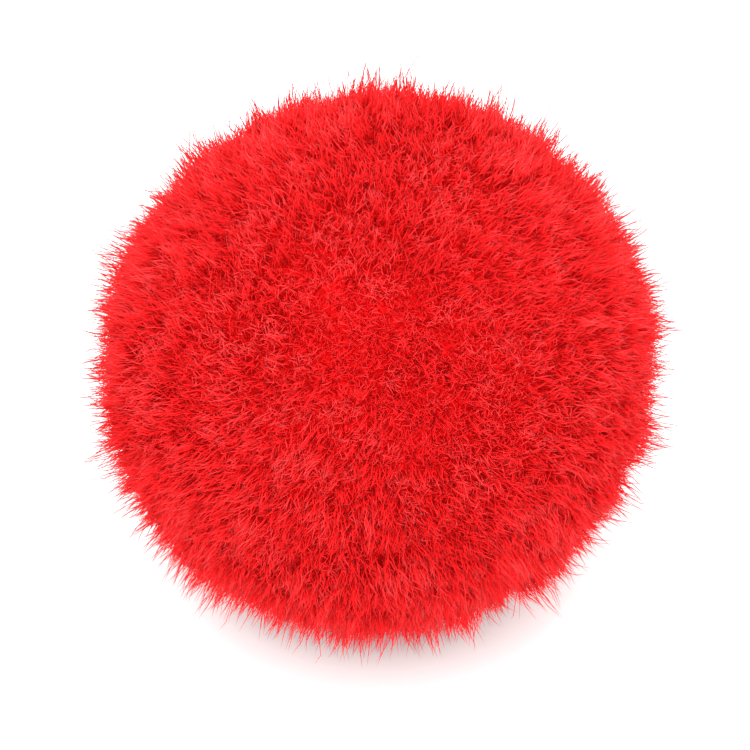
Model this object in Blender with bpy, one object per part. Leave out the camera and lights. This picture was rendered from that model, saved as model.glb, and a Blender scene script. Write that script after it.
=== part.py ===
"""One craft pom pom: a ball of short fibre locks that stand on a fused heart.

Metres, +Z up. The ball rests on the plane z = 0, with the origin under its middle.
"""

import math

import bmesh
import bpy
import numpy as np
from mathutils import Matrix, Vector

# Driving sizes, in metres.
BALL_DIAMETER = 0.025
REST_SINK = 0.0006  # how far the ball settles into its own pile where it rests
LOCK_LEAN = 0.0007  # the furthest that the nap carries a lock's tip sideways
LOCK_STRAY = 0.0002  # the furthest that a lock's tip strays from that nap

# Shares and counts.
HEART_SHARE = 0.80  # radius of the fused heart, as a share of the ball's radius
CORNER_COUNT = 262  # corners of the locks' cells, spread evenly over the ball
MOST_LOCKS = 300
TRIM_UNEVENNESS = 0.012  # how unevenly the locks are trimmed, as a share of their reach
CELL_JITTER = 0.10  # how far a cell's corner is moved, as a share of the cell's width
LOCK_TWIST = math.radians(14)  # the most that a lock turns about itself up to its tip
LEAN_FREEDOM = 3.0  # how soon the locks lean again, away from the spot that the ball rests on
SEED = 7

# How a lock runs outwards from the heart: share of its height, share of its cell's width.
LOCK_PROFILE = (
    (0.42, 0.88),
    (0.80, 0.66),
    (1.00, 0.30),
)

# How the trimmed ball departs from a true round: amount, direction and phase of each slow wave.
OUT_OF_ROUND = (
    (0.010, Vector((1.9, 0.7, -0.8)), 0.4),
    (0.008, Vector((-0.9, 2.3, 1.1)), 2.1),
    (0.006, Vector((2.8, -1.7, 2.2)), 4.0),
)

# The slow swirl of the nap along X, Y and Z: the axis that each follows, its turns and its phase.
NAP_SWIRL = (
    (1, 2.3, 1.0),
    (2, 2.9, 0.3),
    (0, 2.6, 2.2),
)

# Looks.
PILE_COLOUR = (0.76, 0.008, 0.012, 1.0)
PILE_ROUGHNESS = 0.9

# Sizes that follow.
BALL_RADIUS = BALL_DIAMETER / 2
HEART_RADIUS = BALL_RADIUS * HEART_SHARE
CENTRE_HEIGHT = BALL_RADIUS - REST_SINK
CENTRE = Vector((0, 0, CENTRE_HEIGHT))
DOWN = Vector((0, 0, -1))

EVENING_STEPS = 160  # rounds of pushing the corners apart
FIRST_PUSH = 0.2
SMOOTHING_STEPS = 8  # rounds of evening out the cells
SHARP_EDGE = math.radians(50)


def clear_scene():
    for thing in list(bpy.data.objects):
        bpy.data.objects.remove(thing, do_unlink=True)


def even_directions(count, rng):
    """Directions spread evenly over the ball, but in no rows: random ones that push each other apart."""
    points = rng.normal(size=(count, 3))
    points /= np.linalg.norm(points, axis=1, keepdims=True)
    for step in range(EVENING_STEPS):
        apart = points[:, None] - points[None]
        distance = np.linalg.norm(apart, axis=2) + np.eye(count)
        push = (apart / distance[..., None] ** 3).sum(axis=1)
        points += push * FIRST_PUSH / count * (1 - step / EVENING_STEPS)
        points /= np.linalg.norm(points, axis=1, keepdims=True)
    return [Vector(point) for point in points]


def cells_between(directions):
    """A unit ball of cells: the triangles between the directions, most of them paired to four sides."""
    cells = bmesh.new()
    for direction in directions:
        cells.verts.new(direction)
    bmesh.ops.convex_hull(cells, input=cells.verts)
    bmesh.ops.join_triangles(
        cells,
        faces=cells.faces,
        angle_face_threshold=math.pi,
        angle_shape_threshold=math.pi,
    )
    if len(cells.faces) > MOST_LOCKS:
        raise ValueError(f"{len(cells.faces)} locks are more than {MOST_LOCKS}")
    return cells


def even_out(cells, rng):
    """Makes the cells alike in size, then moves each corner a little, and keeps them on the unit ball."""
    for _ in range(SMOOTHING_STEPS):
        bmesh.ops.smooth_vert(
            cells,
            verts=cells.verts,
            factor=0.5,
            use_axis_x=True,
            use_axis_y=True,
            use_axis_z=True,
        )
        for vert in cells.verts:
            vert.co.normalize()
    cell_width = math.sqrt(4 * math.pi / len(cells.faces))
    for vert in cells.verts:
        vert.co += Vector(rng.uniform(-1, 1, 3)) * CELL_JITTER * cell_width
        vert.co.normalize()


def turn_a_cell_down(cells):
    """Turns the sphere so that one lock points straight down, to stand on."""
    four_sided = [face for face in cells.faces if len(face.verts) == 4]
    lowest = min(four_sided, key=lambda face: face.calc_center_median().z)
    turn = lowest.calc_center_median().rotation_difference(DOWN)
    bmesh.ops.rotate(cells, verts=cells.verts, cent=(0, 0, 0), matrix=turn.to_matrix())


def trimmed_reach(direction):
    """How far the pile reaches from the ball's centre, where it rests on nothing."""
    waves = sum(amount * math.sin(wave.dot(direction) + phase) for amount, wave, phase in OUT_OF_ROUND)
    return BALL_RADIUS * (1 + waves)


def nap(direction):
    """The slow swirl that the pile is brushed in: a sideways vector at each direction."""
    swirl = Vector([math.sin(turns * direction[axis] + phase) for axis, turns, phase in NAP_SWIRL])
    return (swirl - direction * swirl.dot(direction)) / math.sqrt(3)


def lock_on(cell, rng):
    """One lock's own axis, corners, lean, twist and trim. Straight under the ball the locks don't lean."""
    axis = cell.calc_center_median().normalized()
    stray = Vector(rng.uniform(-1, 1, 3)) * LOCK_STRAY
    stray -= axis * stray.dot(axis)
    freedom = min(1, LEAN_FREEDOM * (1 + axis.z))
    return {
        "axis": axis,
        "corners": [vert.co - axis for vert in cell.verts],
        "lean": (nap(axis) * LOCK_LEAN + stray) * freedom / BALL_RADIUS,
        "twist": rng.uniform(-1, 1) * LOCK_TWIST,
        "trim": 1 + rng.uniform(-1, 1) * TRIM_UNEVENNESS,
    }


def lock_point(lock, corner, height, width):
    """Where a corner of a lock lies at a share of its height. No lock reaches under the rest plane."""
    turn = Matrix.Rotation(lock["twist"] * height, 3, lock["axis"])
    direction = (lock["axis"] + turn @ corner * width + lock["lean"] * height**2).normalized()
    reach = trimmed_reach(direction) * lock["trim"]
    if direction.z < 0:
        reach = min(reach, CENTRE_HEIGHT / -direction.z)
    return CENTRE + direction * (HEART_RADIUS + (reach - HEART_RADIUS) * height)


def raise_locks(cells, rng):
    """Draws a tapered lock out of each cell, ring by ring. The cells' edges are the roots between."""
    roots = list(cells.faces)
    locks = [lock_on(cell, rng) for cell in roots]
    for vert in cells.verts:
        vert.co = CENTRE + vert.co * HEART_RADIUS
    for cell, lock in zip(roots, locks):
        ring = list(cell.verts)
        for height, width in LOCK_PROFILE:
            upper = [cells.verts.new(lock_point(lock, corner, height, width)) for corner in lock["corners"]]
            for side in range(len(ring)):
                after = (side + 1) % len(ring)
                cells.faces.new((ring[side], ring[after], upper[after], upper[side]))
            ring = upper
        cells.faces.new(ring)
    bmesh.ops.delete(cells, geom=roots, context="FACES_ONLY")


def pile_material():
    material = bpy.data.materials.new("red_pile")
    material.use_nodes = True
    shader = material.node_tree.nodes["Principled BSDF"]
    shader.inputs["Base Color"].default_value = PILE_COLOUR
    shader.inputs["Roughness"].default_value = PILE_ROUGHNESS
    shader.inputs["Metallic"].default_value = 0.0
    return material


def make_pompom():
    rng = np.random.default_rng(SEED)
    cells = cells_between(even_directions(CORNER_COUNT, rng))
    even_out(cells, rng)
    turn_a_cell_down(cells)
    raise_locks(cells, rng)
    bmesh.ops.recalc_face_normals(cells, faces=cells.faces)
    mesh = bpy.data.meshes.new("pompom")
    cells.to_mesh(mesh)
    cells.free()
    mesh.shade_smooth()
    mesh.set_sharp_from_angle(angle=SHARP_EDGE)
    mesh.materials.append(pile_material())
    bpy.context.scene.collection.objects.link(bpy.data.objects.new("pompom", mesh))


clear_scene()
make_pompom()
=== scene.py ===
"""A red craft pom pom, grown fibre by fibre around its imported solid.

Metres, +Z up, in the frame of the solid. Run as a script, it dresses the solid and sets the stage.
"""

import math

import bmesh
import bpy
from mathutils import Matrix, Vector


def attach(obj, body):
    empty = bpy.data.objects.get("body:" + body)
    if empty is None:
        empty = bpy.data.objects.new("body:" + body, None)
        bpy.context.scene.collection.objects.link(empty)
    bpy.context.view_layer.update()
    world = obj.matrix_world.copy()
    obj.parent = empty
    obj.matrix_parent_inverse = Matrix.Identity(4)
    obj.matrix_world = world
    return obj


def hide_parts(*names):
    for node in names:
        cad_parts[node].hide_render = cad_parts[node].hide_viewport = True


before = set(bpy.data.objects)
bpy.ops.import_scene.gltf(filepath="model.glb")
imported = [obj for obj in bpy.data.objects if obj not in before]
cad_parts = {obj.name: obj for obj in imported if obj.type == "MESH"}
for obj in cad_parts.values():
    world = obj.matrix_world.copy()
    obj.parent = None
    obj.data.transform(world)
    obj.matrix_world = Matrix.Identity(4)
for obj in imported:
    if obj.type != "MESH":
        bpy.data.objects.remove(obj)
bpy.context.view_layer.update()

bl_info = {
    "name": "Pom Pom Grower",
    "version": (1, 0, 0),
    "blender": (4, 5, 0),
    "location": "3D View > Sidebar > Pom Pom",
    "description": "Grows the fine pile of a craft pom pom around its packed solid",
    "category": "Object",
}

NODE = "pompom"
BODY = "root"
BAKE_MAP = "OFBake"

# The ball, as the solid has it: a trimmed round that has settled a little where it rests.
BALL_RADIUS = 0.0125
REST_SINK = 0.0006
CENTRE_HEIGHT = BALL_RADIUS - REST_SINK
BALL_FINENESS = 6  # gives a round mesh 20,480 triangles

# The slow waves that it is out of round by: each one's share of the radius, direction and phase.
OUT_OF_ROUND = (
    (0.010, (1.9, 0.7, -0.8), 0.4),
    (0.008, (-0.9, 2.3, 1.1), 2.1),
    (0.006, (2.8, -1.7, 2.2), 4.0),
)

# The whorls of the nap: each slow wave's direction and phase.
NAP_WAVES = (
    ((4.1, -1.6, 2.2), 0.7),
    ((-1.9, 3.7, 3.4), 2.9),
    ((2.6, 4.4, -2.7), 4.4),
    ((-3.3, -2.1, 4.9), 1.8),
    ((1.2, -5.6, -1.7), 5.5),
)
NAP_SHARE = 0.12  # brings the sum of the waves to about one

# The matted heart under the loose pile.
HEART_DEPTH = 1.02  # how far its skin lies below the trimmed round, in pile heights
HEART_RELIEF = 0.0002  # how much lower it gets over the width of a tuft
TUFT_SCALE = 14.0  # how many tufts go into the ball's radius
TUFT_LEVEL = 0.6  # how far from its middle a tuft is level with the skin, in widths of a tuft

# The pieces that are strands, and what each of them has of its own.
STRAND_PIECES = {
    "pile_a": {"Seed": 1},
    "pile_b": {"Seed": 101},
    "pile_c": {"Seed": 201},
    "pile_d": {"Seed": 301},
    "pile_e": {"Seed": 401},
    "loose_ends": {
        "Strands": 1900,
        "Rings": 2,
        "Shortest": 0.9,
        "Fuzz": 0.0007,
        "Strand Width": 0.00004,
        "Stray": 0.0013,
        "Clump": 0.1,
        "Crimp": 0.0003,
        "Seed": 901,
    },
}

# One strand: a closed spindle.
STRAND_SIDES = 3
STRAND_RINGS = 1  # between its two ends
BLUNTNESS = 0.474  # moves its widest part from its middle up towards its cut end

# A strand's random draws: how far the seed of each is past the seed of the piece.
STRAY_DRAW, HOLD_DRAW, LENGTH_DRAW, RARITY_DRAW, SHADE_DRAW, BEND_DRAW, SPIN_DRAW = range(1, 8)

# The way the strands lie.
LOCK_WANDER = 0.06  # how far the outlines of the locks wander, as a share of the ball's radius
LOCK_WANDER_SCALE = 0.6  # how many bends of an outline go into the width of a lock
LOCK_STRETCH = 0.9  # how much less the tips draw together along the nap than across it
LEAST_HOLD = 0.1  # of a lock on the strand that it holds least, as a share of the fullest hold
LEAST_LOOSE = 0.35  # how far the tips of the tightest lock thin out, as a share of the loosest one's
LEAST_CHANCE = 0.015  # that a strand draws: the smaller its chance, the further it stands out
LEAST_LATE = 0.1  # how late the first strands bend over: 0 would be at the root, 1 near the tip
CRIMP_SCALE = 1500.0  # how many waves of the crimp go into a metre
CRIMP_GAIN = 4.0  # brings the soft noise of the crimp to about one
PRESS_SOFTNESS = 0.00025  # how softly the lowest strands come down on the floor
NOISE_DETAIL = 1.0
NOISE_MIDDLE = (0.5, 0.5, 0.5)

# The map of the strands: across it from root to tip, and up it by each strand's own shade.
MAP_MARGIN = 0.01  # left free before the roots and past the tips
SHADE_MARGIN = 0.02  # left free below the darkest strand and above the lightest
HALF_STRIP = 0.01  # half of the height that one strand takes up
LOCK_SHADE = 0.5  # how much of its shade a strand has from its lock

# The fibre's finish, with its painted light, painted shade and painted highlights. The spans are shares
# of a strand's length.
FIBRE_SPAN = (0.55, 0.80)  # where a strand has its fibre colour
GLINT_SPAN = (0.55, 1.0)  # where it turns pale with a painted highlight, if it does
GLINT_SHADES = (0.50, 0.80)  # the darkest shade that takes a little painted highlight, and the first that takes it fully
SHADE_STRENGTH = (0.76, 1.04)  # of the colour of the darkest strand, and of the lightest
FIBRE_SPECULAR = 0.10
SHEEN_WEIGHT = 0.03
SHEEN_ROUGHNESS = 0.5
SHEEN_TINT = (1.0, 0.45, 0.42, 1.0)

# The heart's finish: a fine grain of cut ends, with painted shade in the gaps between them.
GRAIN_SCALE = 7000.0  # how many cut ends go into a metre
GRAIN_SPAN = (0.25, 0.75)  # where an end turns into the painted shade of the gap beside it, in widths from its middle
GRAIN_BUMP = 0.5
GRAIN_HEIGHT = 0.00006
HEART_ROUGHNESS = 0.9
HEART_SPECULAR = 0.05

# The stage.
FLOOR_COLOUR = (0.72, 0.72, 0.72, 1.0)
FLOOR_ROUGHNESS = 0.7
FLOOR_SPECULAR = 0.2
ROOM_COLOUR = (1.0, 1.0, 1.0, 1.0)
ROOM_STRENGTH = 2.21
AIM_DROP = 0.0008  # how far under the ball's centre the camera aims
CLIP_SPAN = (0.001, 50.0)  # how near and how far the camera sees

# The soft round lights: each one's name, place, width, and power in watts.
LIGHTS = (
    ("key", (-0.09, -0.31, 0.38), 0.34, 1.40),
    ("fill", (0.30, -0.38, 0.24), 0.40, 0.4),
    ("back", (0.06, 0.40, 0.26), 0.40, 0.6),
)


class PomPomPile(bpy.types.PropertyGroup):
    """Sizes of the strands and of the way they lie."""

    strands: bpy.props.IntProperty(
        name="Strands in a Coat",
        description="About how many strands each of the coats of pile has",
        default=31400,
        min=10,
        max=33000,
    )
    pile_height: bpy.props.FloatProperty(
        name="Pile Height",
        description="How far the loose pile stands off the matted heart",
        default=0.0011,
        unit="LENGTH",
    )
    shortest: bpy.props.FloatProperty(
        name="Shortest Strand",
        description="Height of the shortest strands, as a share of the pile height",
        default=0.62,
        subtype="FACTOR",
        min=0.0,
        max=1.0,
    )
    fuzz: bpy.props.FloatProperty(
        name="Fuzz",
        description="How far the tips of the loosest locks thin out, past the cut ones",
        default=0.00055,
        unit="LENGTH",
    )
    trim_unevenness: bpy.props.FloatProperty(
        name="Trim Unevenness",
        description="How much the small locks differ in height",
        default=0.0006,
        unit="LENGTH",
    )
    strand_width: bpy.props.FloatProperty(
        name="Strand Width",
        description="Width of one strand where it is widest",
        default=0.000045,
        unit="LENGTH",
    )
    lean: bpy.props.FloatProperty(
        name="Nap Lean",
        description="How far the brushed nap leans the strand tips over",
        default=0.00025,
        unit="LENGTH",
    )
    stray: bpy.props.FloatProperty(
        name="Stray",
        description="How far each tip strays sideways from the nap",
        default=0.0007,
        unit="LENGTH",
    )
    clump: bpy.props.FloatProperty(
        name="Clumping",
        description="How far the tips draw together into small locks, the further out the less",
        default=1.0,
        subtype="FACTOR",
        min=0.0,
        max=1.0,
    )
    lock_size: bpy.props.FloatProperty(
        name="Lock Size",
        description="How far apart the small locks of strands are",
        default=0.0010,
        unit="LENGTH",
    )
    crimp: bpy.props.FloatProperty(
        name="Crimp",
        description="How far the strands wave to and fro",
        default=0.0001,
        unit="LENGTH",
    )


class PomPomColours(bpy.types.PropertyGroup):
    """Colours of the fibre, with painted light, painted shade and painted highlights in some of them."""

    # Lighter than the fibre colour: painted light against the shade deep in the pile.
    root: bpy.props.FloatVectorProperty(
        name="Root Colour",
        description="Colour of the fibre deep in the pile",
        subtype="COLOR",
        size=3,
        min=0.0,
        max=1.0,
        default=(0.95, 0.0075, 0.010),
    )
    middle: bpy.props.FloatVectorProperty(
        name="Fibre Colour",
        description="Colour of the fibre between its root and its tip",
        subtype="COLOR",
        size=3,
        min=0.0,
        max=1.0,
        default=(0.90, 0.009, 0.0115),
    )
    # Darker than the fibre colour: painted shade that holds down the light falling on the cut tips.
    tip: bpy.props.FloatVectorProperty(
        name="Tip Colour",
        description="Colour of the cut tips, which let some light through",
        subtype="COLOR",
        size=3,
        min=0.0,
        max=1.0,
        default=(0.72, 0.024, 0.028),
    )
    # Painted highlight: the pale glints at the tips of the lightest strands.
    painted_glint_tip: bpy.props.FloatVectorProperty(
        name="Pale Tip Colour",
        description="Colour of the tips of the lightest strands",
        subtype="COLOR",
        size=3,
        min=0.0,
        max=1.0,
        default=(0.73, 0.072, 0.077),
    )
    heart: bpy.props.FloatVectorProperty(
        name="Heart Colour",
        description="Colour of the cut ends of the matted heart",
        subtype="COLOR",
        size=3,
        min=0.0,
        max=1.0,
        default=(0.88, 0.0075, 0.009),
    )
    # Darker than the cut ends: painted shade in the gaps between them.
    gap: bpy.props.FloatVectorProperty(
        name="Gap Colour",
        description="Colour between the cut ends of the matted heart",
        subtype="COLOR",
        size=3,
        min=0.0,
        max=1.0,
        default=(0.62, 0.0035, 0.005),
    )
    roughness: bpy.props.FloatProperty(
        name="Roughness",
        description="How dull the fibre is",
        default=0.55,
        subtype="FACTOR",
        min=0.0,
        max=1.0,
    )


class PomPomStage(bpy.types.PropertyGroup):
    """The floor and the camera."""

    floor_size: bpy.props.FloatProperty(
        name="Floor Size",
        description="Side of the pale floor",
        default=6.0,
        unit="LENGTH",
    )
    elevation: bpy.props.FloatProperty(
        name="Camera Elevation",
        description="How steeply the camera looks down",
        default=math.radians(40),
        subtype="ANGLE",
        unit="ROTATION",
    )
    lens: bpy.props.FloatProperty(
        name="Lens",
        description="Focal length of the camera",
        default=100.0,
        unit="CAMERA",
    )
    fill: bpy.props.FloatProperty(
        name="Frame Fill",
        description="How much of the frame's width the ball takes",
        default=0.72,
        subtype="FACTOR",
        min=0.1,
        max=1.0,
    )


class NodePen:
    """Adds nodes to one tree and joins their sockets, so that a field reads like a sum."""

    def __init__(self, tree):
        self.tree = tree

    def set(self, socket, value):
        """Gives an input a value, or joins it to the output of another node."""
        if isinstance(value, bpy.types.NodeSocket):
            self.tree.links.new(value, socket)
        else:
            socket.default_value = value

    def fill(self, node, inputs):
        """Sets inputs of a node, each found by its name, or by its number among those in use."""
        used = [socket for socket in node.inputs if socket.enabled]
        for key, value in inputs.items():
            if isinstance(key, int):
                socket = used[key]
            else:
                socket = next(found for found in used if found.name == key)
            self.set(socket, value)

    def add(self, kind, inputs=None, out=0, **settings):
        """The output of a new node, found by its name or number. Where out is None, the node itself."""
        node = self.tree.nodes.new(kind)
        for name, setting in settings.items():
            setattr(node, name, setting)
        self.fill(node, inputs or {})
        if out is None:
            return node
        used = [socket for socket in node.outputs if socket.enabled]
        if isinstance(out, str):
            return next(found for found in used if found.name == out)
        return used[out]

    def math(self, operation, *values):
        return self.add("ShaderNodeMath", dict(enumerate(values)), operation=operation)

    def plus(self, one, other):
        return self.math("ADD", one, other)

    def minus(self, one, other):
        return self.math("SUBTRACT", one, other)

    def times(self, one, other):
        return self.math("MULTIPLY", one, other)

    def over(self, one, other):
        return self.math("DIVIDE", one, other)

    def vector(self, operation, *values):
        return self.add("ShaderNodeVectorMath", dict(enumerate(values)), operation=operation)

    def sum(self, one, other):
        return self.vector("ADD", one, other)

    def difference(self, one, other):
        return self.vector("SUBTRACT", one, other)

    def unit(self, vector):
        return self.vector("NORMALIZE", vector)

    def scaled(self, vector, factor):
        return self.add("ShaderNodeVectorMath", {0: vector, "Scale": factor}, operation="SCALE")

    def dot(self, one, other):
        return self.add("ShaderNodeVectorMath", {0: one, 1: other}, out="Value", operation="DOT_PRODUCT")

    def parts(self, vector):
        return tuple(self.add("ShaderNodeSeparateXYZ", {0: vector}, out=None).outputs)

    def point(self, x, y, z):
        return self.add("ShaderNodeCombineXYZ", {0: x, 1: y, 2: z})

    def place(self):
        return self.add("GeometryNodeInputPosition")

    def noise(self, place, scale):
        """A soft random vector, about from -0.5 to 0.5 on each axis."""
        inputs = {"Vector": place, "Scale": scale, "Detail": NOISE_DETAIL}
        return self.difference(self.add("ShaderNodeTexNoise", inputs, out="Color"), NOISE_MIDDLE)

    def ranged(self, value, span, onto=(0.0, 1.0)):
        """A value brought from one span onto another, and held at its ends."""
        inputs = {"Value": value, "From Min": span[0], "From Max": span[1]}
        inputs.update({"To Min": onto[0], "To Max": onto[1]})
        return self.add("ShaderNodeMapRange", inputs)

    def ramp(self, value, stops):
        """A colour that runs with a value through these stops, each a position and a colour."""
        node = self.add("ShaderNodeValToRGB", {"Fac": value}, out=None)
        elements = node.color_ramp.elements
        while len(elements) < len(stops):
            elements.new(1.0)
        for element, (position, colour) in zip(elements, stops):
            element.position = position
            element.color = (*colour, 1.0)
        return node.outputs["Color"]

    def keep(self, geometry, *fields):
        """A geometry that carries fields along as they are now, and the fields that it carries."""
        node = self.add("GeometryNodeCaptureAttribute", {"Geometry": geometry}, out=None)
        for number, field in enumerate(fields, start=1):
            kind = "VECTOR" if field.type == "VECTOR" else "FLOAT"
            node.capture_items.new(kind, f"Field {number}")
            self.set(node.inputs[number], field)
        return tuple(node.outputs)[: len(fields) + 1]


def new_tree(name, sockets):
    """An empty geometry tree: itself, its pen, its named inputs, and the socket for its result."""
    tree = bpy.data.node_groups.new(name, "GeometryNodeTree")
    tree.interface.new_socket("Geometry", in_out="OUTPUT", socket_type="NodeSocketGeometry")
    for label, kind in sockets.items():
        tree.interface.new_socket(label, in_out="INPUT", socket_type="NodeSocket" + kind)
    entry = tree.nodes.new("NodeGroupInput")
    leave = tree.nodes.new("NodeGroupOutput")
    given = {socket.name: socket for socket in entry.outputs if socket.name}
    return tree, NodePen(tree), given, leave.inputs[0]


def unit_ball(pen):
    """A ball of radius one, and the direction of each of its points from its centre."""
    ball = pen.add("GeometryNodeMeshIcoSphere", {"Radius": 1.0, "Subdivisions": BALL_FINENESS})
    return ball, pen.unit(pen.place())


def reach_of(pen, direction):
    """How far the trimmed pile reaches from the ball's centre in a direction."""
    share = 1.0
    for amount, wave, phase in OUT_OF_ROUND:
        turn = pen.plus(pen.dot(direction, wave), phase)
        share = pen.plus(share, pen.times(pen.math("SINE", turn), amount))
    return pen.times(share, BALL_RADIUS)


def nap_of(pen, direction):
    """The way the pile was rolled: whorls that lean the strands over but crowd them nowhere."""
    slope = (0.0, 0.0, 0.0)
    for wave, phase in NAP_WAVES:
        turn = pen.plus(pen.dot(direction, wave), phase)
        slope = pen.sum(slope, pen.scaled(wave, pen.math("COSINE", turn)))
    return pen.scaled(pen.vector("CROSS_PRODUCT", direction, slope), NAP_SHARE)


def strand_mesh(pen, rings):
    """One strand pressed flat, and of each vertex how far along it and on which side it is.

    It is made one unit wide and long, so its root is at -0.5 and its tip at 0.5.
    """
    strand = pen.add(
        "GeometryNodeMeshUVSphere",
        {"Segments": STRAND_SIDES, "Rings": pen.plus(rings, 1), "Radius": 0.5},
    )
    x, y, z = pen.parts(pen.place())
    along = pen.math("POWER", pen.plus(z, 0.5), BLUNTNESS)
    side = pen.over(pen.math("ARCTAN2", y, x), math.pi)
    strand, along, side = pen.keep(strand, along, side)
    flat = pen.point(x, y, 0.0)
    strand = pen.add("GeometryNodeSetPosition", {"Geometry": strand, "Position": flat})
    return strand, along, side


def drawn(pen, given, draw, low, high, kind="FLOAT"):
    """One of a strand's own random draws, from low to high."""
    inputs = {"Min": low, "Max": high, "Seed": pen.plus(given["Seed"], draw)}
    return pen.add("FunctionNodeRandomValue", inputs, data_type=kind)


def lock_of(pen, given, tip):
    """The small lock that a tip is in: its middle, and two random shares from 0 to 1 of its own."""
    scale = pen.over(BALL_RADIUS, given["Lock Size"])
    wander = pen.scaled(pen.noise(tip, pen.times(scale, LOCK_WANDER_SCALE)), LOCK_WANDER)
    inputs = {"Vector": pen.sum(tip, wander), "Scale": scale}
    lock = pen.add("ShaderNodeTexVoronoi", inputs, out=None)
    shade, trim, _ = pen.parts(lock.outputs["Color"])
    return lock.outputs["Position"], shade, trim


def rarity_of(pen, given):
    """How rare a strand is, from 0 up: minus the natural logarithm of the chance that it draws."""
    chance = drawn(pen, given, RARITY_DRAW, LEAST_CHANCE, 1.0)
    return pen.math("LOGARITHM", chance, 1 / math.e)


def lie_of(pen, given, root, rarity):
    """How far sideways a tip lies, by nap, stray and lock together, and the lock's two shares."""
    nap = nap_of(pen, root)
    nap_line = pen.unit(nap)
    astray = drawn(pen, given, STRAY_DRAW, (-1, -1, -1), (1, 1, 1), "FLOAT_VECTOR")
    sideways = pen.sum(pen.scaled(nap, given["Lean"]), pen.scaled(astray, given["Stray"]))
    tip = pen.unit(pen.sum(root, pen.scaled(sideways, 1 / BALL_RADIUS)))
    lock, shade, trim = lock_of(pen, given, tip)
    to_lock = pen.difference(lock, tip)
    along_nap = pen.times(pen.dot(to_lock, nap_line), LOCK_STRETCH)
    to_lock = pen.difference(to_lock, pen.scaled(nap_line, along_nap))
    hold = pen.times(drawn(pen, given, HOLD_DRAW, LEAST_HOLD, 1.0), given["Clump"])
    hold = pen.over(hold, pen.plus(1.0, rarity))
    sideways = pen.sum(sideways, pen.scaled(to_lock, pen.times(hold, BALL_RADIUS)))
    return sideways, shade, trim


def height_of(pen, given, trim, rarity):
    """How high a strand stands off the heart: as it was cut, as its lock lies, and its own fuzz."""
    cut = pen.times(drawn(pen, given, LENGTH_DRAW, given["Shortest"], 1.0), given["Pile Height"])
    looseness = pen.plus(pen.times(pen.times(trim, trim), 1 - LEAST_LOOSE), LEAST_LOOSE)
    fuzz = pen.times(pen.times(looseness, rarity), given["Fuzz"])
    uneven = pen.times(pen.minus(trim, 0.5), given["Trim Unevenness"])
    return pen.plus(pen.plus(cut, fuzz), uneven)


def turned_to(pen, aim, spin):
    """A rotation that points Z at an aim, spun about it."""
    turned = pen.add("FunctionNodeAlignRotationToVector", {"Vector": aim}, axis="Z")
    spun = pen.add("FunctionNodeAxisAngleToRotation", {"Axis": (0, 0, 1), "Angle": spin})
    return pen.add("FunctionNodeRotateRotation", {0: turned, 1: spun}, rotation_space="LOCAL")


def line_of(pen, given, root, sideways, height, lateness, along):
    """The place on a strand's line that far along it, from the ball's centre."""
    bend = pen.plus(1.0, pen.times(lateness, pen.minus(along, 1.0)))
    aside = pen.scaled(sideways, pen.times(pen.times(along, bend), 1 / BALL_RADIUS))
    direction = pen.unit(pen.sum(root, aside))
    heart = pen.minus(reach_of(pen, direction), given["Pile Height"])
    place = pen.scaled(direction, pen.plus(heart, pen.times(height, along)))
    crimp = pen.scaled(pen.noise(place, CRIMP_SCALE), pen.times(given["Crimp"], CRIMP_GAIN))
    return pen.sum(place, crimp)


def pressed(pen, height):
    """A height that evens out softly where it comes down to the floor."""
    above = pen.math("SQRT", pen.plus(pen.times(height, height), PRESS_SOFTNESS**2))
    return pen.times(pen.plus(height, above), 0.5)


def map_place(pen, along, side, shade):
    """A vertex's place on the map of the strands."""
    across = pen.plus(pen.times(along, 1 - 2 * MAP_MARGIN), MAP_MARGIN)
    strip = pen.plus(SHADE_MARGIN, pen.times(side, HALF_STRIP))
    up = pen.plus(pen.times(shade, 1 - 2 * SHADE_MARGIN), strip)
    return pen.point(across, up, 0.0)


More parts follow.
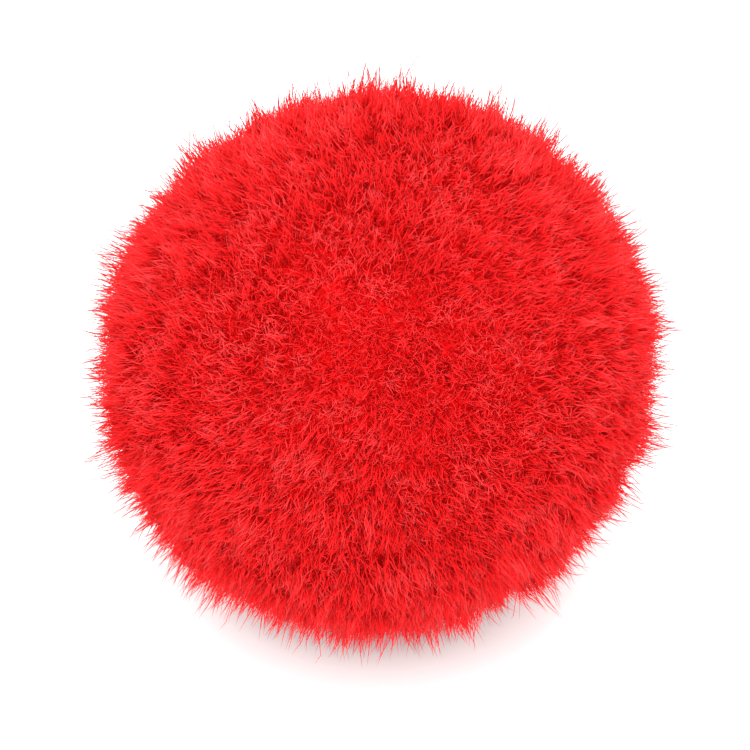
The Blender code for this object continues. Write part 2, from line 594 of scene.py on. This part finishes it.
def pile_tree():
    """Roots strands all over the heart, leans them with the nap, and draws their tips into locks."""
    tree, pen, given, result = new_tree(
        "Pile",
        {
            "Strands": "Int",
            "Rings": "Int",
            "Pile Height": "Float",
            "Shortest": "Float",
            "Fuzz": "Float",
            "Trim Unevenness": "Float",
            "Strand Width": "Float",
            "Lean": "Float",
            "Stray": "Float",
            "Clump": "Float",
            "Lock Size": "Float",
            "Crimp": "Float",
            "Seed": "Int",
            "Material": "Material",
        },
    )

    # Each strand starts as a point on a ball, which carries along all that is the strand's own.
    ball, root = unit_ball(pen)
    density = pen.over(given["Strands"], 4 * math.pi)
    scatter = {"Mesh": ball, "Density": density, "Seed": given["Seed"]}
    points = pen.add("GeometryNodeDistributePointsOnFaces", scatter)
    rarity = rarity_of(pen, given)
    sideways, lock_shade, trim = lie_of(pen, given, root, rarity)
    height = height_of(pen, given, trim, rarity)
    own_shade = drawn(pen, given, SHADE_DRAW, 0.0, 1.0)
    shade = pen.plus(pen.times(lock_shade, LOCK_SHADE), pen.times(own_shade, 1 - LOCK_SHADE))
    lateness = drawn(pen, given, BEND_DRAW, LEAST_LATE, 1.0)
    points, root, sideways, height, lateness, shade = pen.keep(
        points, root, sideways, height, lateness, shade
    )

    # The strands themselves are still flat on the ball, each turned square to the way it will stand.
    strand, along, side = strand_mesh(pen, given["Rings"])
    aim = pen.unit(pen.sum(pen.scaled(root, height), sideways))
    spin = drawn(pen, given, SPIN_DRAW, 0.0, 2 * math.pi)
    strands = pen.add(
        "GeometryNodeInstanceOnPoints",
        {
            "Points": points,
            "Instance": strand,
            "Rotation": turned_to(pen, aim, spin),
            "Scale": given["Strand Width"],
        },
    )
    strands = pen.add("GeometryNodeRealizeInstances", {"Geometry": strands})

    # Each vertex goes up its strand's line, and none goes through the floor.
    line = line_of(pen, given, root, sideways, height, lateness, along)
    offset = pen.difference(pen.place(), root)
    x, y, z = pen.parts(pen.sum(pen.sum(line, offset), (0, 0, CENTRE_HEIGHT)))
    place = pen.point(x, y, pressed(pen, z))
    strands = pen.add("GeometryNodeSetPosition", {"Geometry": strands, "Position": place})

    strands = pen.add(
        "GeometryNodeStoreNamedAttribute",
        {"Geometry": strands, "Name": BAKE_MAP, "Value": map_place(pen, along, side, shade)},
        data_type="FLOAT2",
        domain="CORNER",
    )
    strands = pen.add("GeometryNodeSetShadeSmooth", {"Geometry": strands})
    finish = {"Geometry": strands, "Material": given["Material"]}
    pen.set(result, pen.add("GeometryNodeSetMaterial", finish))
    return tree


def heart_tree():
    """The matted heart: a ball at the strands' roots, with the low relief of its tufts."""
    tree, pen, given, result = new_tree(
        "Heart",
        {"Depth": "Float", "Relief": "Float", "Material": "Material"},
    )
    ball, direction = unit_ball(pen)
    cells = {"Vector": direction, "Scale": TUFT_SCALE}
    from_tuft = pen.add("ShaderNodeTexVoronoi", cells, out="Distance")
    skin = pen.minus(reach_of(pen, direction), given["Depth"])
    skin = pen.plus(skin, pen.times(pen.minus(TUFT_LEVEL, from_tuft), given["Relief"]))
    place = pen.sum(pen.scaled(direction, skin), (0, 0, CENTRE_HEIGHT))
    ball = pen.add("GeometryNodeSetPosition", {"Geometry": ball, "Position": place})
    ball = pen.add("GeometryNodeSetShadeSmooth", {"Geometry": ball})
    ball = pen.add("GeometryNodeRealizeInstances", {"Geometry": ball})
    finish = {"Geometry": ball, "Material": given["Material"]}
    pen.set(result, pen.add("GeometryNodeSetMaterial", finish))
    return tree


def identifier(tree, label):
    """What a modifier calls the tree's input of that name."""
    return next(
        item.identifier
        for item in tree.interface.items_tree
        if item.item_type == "SOCKET" and item.in_out == "INPUT" and item.name == label
    )


def grown(name, tree, values):
    """A piece of that name: the plain mesh that a tree makes with these inputs."""
    seed = bpy.data.meshes.new(name + "_seed")
    piece = bpy.data.objects.new(name, seed)
    bpy.context.scene.collection.objects.link(piece)
    modifier = piece.modifiers.new("Grow", "NODES")
    modifier.node_group = tree
    for label, value in values.items():
        modifier[identifier(tree, label)] = value
    shown = piece.evaluated_get(bpy.context.evaluated_depsgraph_get())
    mesh = bpy.data.meshes.new_from_object(shown)
    mesh.name = name
    piece.modifiers.clear()
    piece.data = mesh
    bpy.data.meshes.remove(seed)
    return piece


def dress(piece):
    """Lets a piece stand for the solid: puts it on its body and hides the solid's part."""
    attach(piece, BODY)
    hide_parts(NODE)


def new_material(name):
    """A new material, its pen and its shader."""
    material = bpy.data.materials.new(name)
    material.use_nodes = True
    tree = material.node_tree
    return material, NodePen(tree), tree.nodes["Principled BSDF"]


def fibre_material():
    """Dyed fibre: its colour runs from root to tip, lighter at the root as painted light and darker at
    the tip as painted shade; the lightest strands have painted highlights at their tips, and each strand
    has a shade of its own.
    """
    colours = bpy.context.scene.pompom_colours
    material, pen, shader = new_material("red_fibre")
    along, shade, _ = pen.parts(pen.add("ShaderNodeUVMap", uv_map=BAKE_MAP))
    start, end = FIBRE_SPAN
    # The root is lighter than the middle as painted light against the shade deep in the pile, and the
    # tip is darker as painted shade against the light that falls on it.
    colour = pen.ramp(
        along,
        (
            (0.0, colours.root),
            (start, colours.middle),
            (end, colours.middle),
            (1.0, colours.tip),
        ),
    )
    toned = pen.scaled(colour, pen.ranged(shade, (0.0, 1.0), SHADE_STRENGTH))
    # Painted highlight: the tips of the lightest strands turn pale, as if catching the light.
    painted_glint_share = pen.times(pen.ranged(along, GLINT_SPAN), pen.ranged(shade, GLINT_SHADES))
    mix = {"Factor": painted_glint_share, "A": toned, "B": (*colours.painted_glint_tip, 1.0)}
    pen.fill(
        shader,
        {
            "Base Color": pen.add("ShaderNodeMix", mix, data_type="RGBA"),
            "Roughness": colours.roughness,
            "Specular IOR Level": FIBRE_SPECULAR,
            "Sheen Weight": SHEEN_WEIGHT,
            "Sheen Roughness": SHEEN_ROUGHNESS,
            "Sheen Tint": SHEEN_TINT,
        },
    )
    return material


def heart_material():
    """The matted fibre under the loose pile: a grain of cut ends, with painted shade between them."""
    colours = bpy.context.scene.pompom_colours
    material, pen, shader = new_material("matted_fibre")
    cells = {"Vector": pen.add("ShaderNodeTexCoord", out="Object"), "Scale": GRAIN_SCALE}
    from_end = pen.add("ShaderNodeTexVoronoi", cells, out="Distance")
    start, end = GRAIN_SPAN
    grain = {"Strength": GRAIN_BUMP, "Distance": GRAIN_HEIGHT, "Height": from_end}
    pen.fill(
        shader,
        {
            # The cut ends in the heart colour, with painted shade in the gaps between them.
            "Base Color": pen.ramp(from_end, ((start, colours.heart), (end, colours.gap))),
            "Normal": pen.add("ShaderNodeBump", grain, invert=True),
            "Roughness": HEART_ROUGHNESS,
            "Specular IOR Level": HEART_SPECULAR,
        },
    )
    return material


def floor_material():
    """The pale, dull paper of the floor."""
    material, pen, shader = new_material("pale_floor")
    pen.fill(
        shader,
        {
            "Base Color": FLOOR_COLOUR,
            "Roughness": FLOOR_ROUGHNESS,
            "Specular IOR Level": FLOOR_SPECULAR,
        },
    )
    return material


def lay_floor(size):
    """A square floor of that size under the ball."""
    half = size / 2
    sheet = bmesh.new()
    corners = ((-half, -half), (half, -half), (half, half), (-half, half))
    sheet.faces.new([sheet.verts.new((x, y, 0)) for x, y in corners])
    mesh = bpy.data.meshes.new("floor")
    sheet.to_mesh(mesh)
    sheet.free()
    mesh.materials.append(floor_material())
    floor = bpy.data.objects.new("floor", mesh)
    bpy.context.scene.collection.objects.link(floor)


def light_room():
    """Even white light from all round."""
    world = bpy.data.worlds.new("soft_room")
    world.use_nodes = True
    background = world.node_tree.nodes["Background"]
    NodePen(world.node_tree).fill(background, {"Color": ROOM_COLOUR, "Strength": ROOM_STRENGTH})
    bpy.context.scene.world = world


def hang_light(name, place, width, power):
    """A soft round light that faces the ball."""
    lamp = bpy.data.lights.new(name, "AREA")
    lamp.shape = "DISK"
    lamp.size = width
    lamp.energy = power
    holder = bpy.data.objects.new(name, lamp)
    to_ball = Vector((0, 0, CENTRE_HEIGHT)) - Vector(place)
    holder.location = place
    holder.rotation_mode = "QUATERNION"
    holder.rotation_quaternion = to_ball.to_track_quat("-Z", "Y")
    bpy.context.scene.collection.objects.link(holder)


def set_camera(stage):
    """Looks down at the ball, which is in the middle of the frame."""
    lens = bpy.data.cameras.new("camera")
    lens.lens = stage.lens
    lens.clip_start, lens.clip_end = CLIP_SPAN
    holder = bpy.data.objects.new("camera", lens)
    view_width = 2 * BALL_RADIUS / stage.fill
    distance = view_width * lens.lens / lens.sensor_width
    back = Vector((0, -math.cos(stage.elevation), math.sin(stage.elevation)))
    target = Vector((0, 0, CENTRE_HEIGHT - AIM_DROP))
    holder.location = target + back * distance
    holder.rotation_mode = "QUATERNION"
    holder.rotation_quaternion = (-back).to_track_quat("-Z", "Y")
    bpy.context.scene.collection.objects.link(holder)
    bpy.context.scene.camera = holder


class POMPOM_OT_heart(bpy.types.Operator):
    """Make the matted heart that the loose pile stands on"""

    bl_idname = "pompom.heart"
    bl_label = "Make the Heart"

    def execute(self, context):
        depth = context.scene.pompom_pile.pile_height * HEART_DEPTH
        values = {"Depth": depth, "Relief": HEART_RELIEF, "Material": heart_material()}
        dress(grown("heart", heart_tree(), values))
        return {"FINISHED"}


class POMPOM_OT_pile(bpy.types.Operator):
    """Grow the coats of fine pile all round the ball, and the loose ends that stray from them"""

    bl_idname = "pompom.pile"
    bl_label = "Grow the Pile"

    def execute(self, context):
        pile = context.scene.pompom_pile
        shared = {
            "Strands": pile.strands,
            "Rings": STRAND_RINGS,
            "Pile Height": pile.pile_height,
            "Shortest": pile.shortest,
            "Fuzz": pile.fuzz,
            "Trim Unevenness": pile.trim_unevenness,
            "Strand Width": pile.strand_width,
            "Lean": pile.lean,
            "Stray": pile.stray,
            "Clump": pile.clump,
            "Lock Size": pile.lock_size,
            "Crimp": pile.crimp,
            "Material": fibre_material(),
        }
        tree = pile_tree()
        for name, own in STRAND_PIECES.items():
            dress(grown(name, tree, {**shared, **own}))
        return {"FINISHED"}


class POMPOM_OT_stage(bpy.types.Operator):
    """Lay the pale floor, hang the soft lights and set the camera"""

    bl_idname = "pompom.stage"
    bl_label = "Set the Stage"

    def execute(self, context):
        stage = context.scene.pompom_stage
        lay_floor(stage.floor_size)
        light_room()
        for light in LIGHTS:
            hang_light(*light)
        set_camera(stage)
        context.scene.view_settings.view_transform = "Standard"
        return {"FINISHED"}


class POMPOM_PT_panel(bpy.types.Panel):
    """Sizes, colours and steps of the pom pom"""

    bl_idname = "POMPOM_PT_panel"
    bl_label = "Pom Pom"
    bl_space_type = "VIEW_3D"
    bl_region_type = "UI"
    bl_category = "Pom Pom"

    def draw(self, context):
        scene = context.scene
        for group in (scene.pompom_pile, scene.pompom_colours, scene.pompom_stage):
            box = self.layout.box()
            for name in group.__annotations__:
                box.prop(group, name)
        for step in STEPS:
            self.layout.operator(step.bl_idname)


STEPS = (POMPOM_OT_heart, POMPOM_OT_pile, POMPOM_OT_stage)
CLASSES = (PomPomPile, PomPomColours, PomPomStage, *STEPS, POMPOM_PT_panel)


def register():
    for item in CLASSES:
        bpy.utils.register_class(item)
    bpy.types.Scene.pompom_pile = bpy.props.PointerProperty(type=PomPomPile)
    bpy.types.Scene.pompom_colours = bpy.props.PointerProperty(type=PomPomColours)
    bpy.types.Scene.pompom_stage = bpy.props.PointerProperty(type=PomPomStage)


def unregister():
    del bpy.types.Scene.pompom_stage
    del bpy.types.Scene.pompom_colours
    del bpy.types.Scene.pompom_pile
    for item in reversed(CLASSES):
        bpy.utils.unregister_class(item)


def main():
    register()
    bpy.ops.pompom.heart()
    bpy.ops.pompom.pile()
    bpy.ops.pompom.stage()


if __name__ == "__main__":
    main()
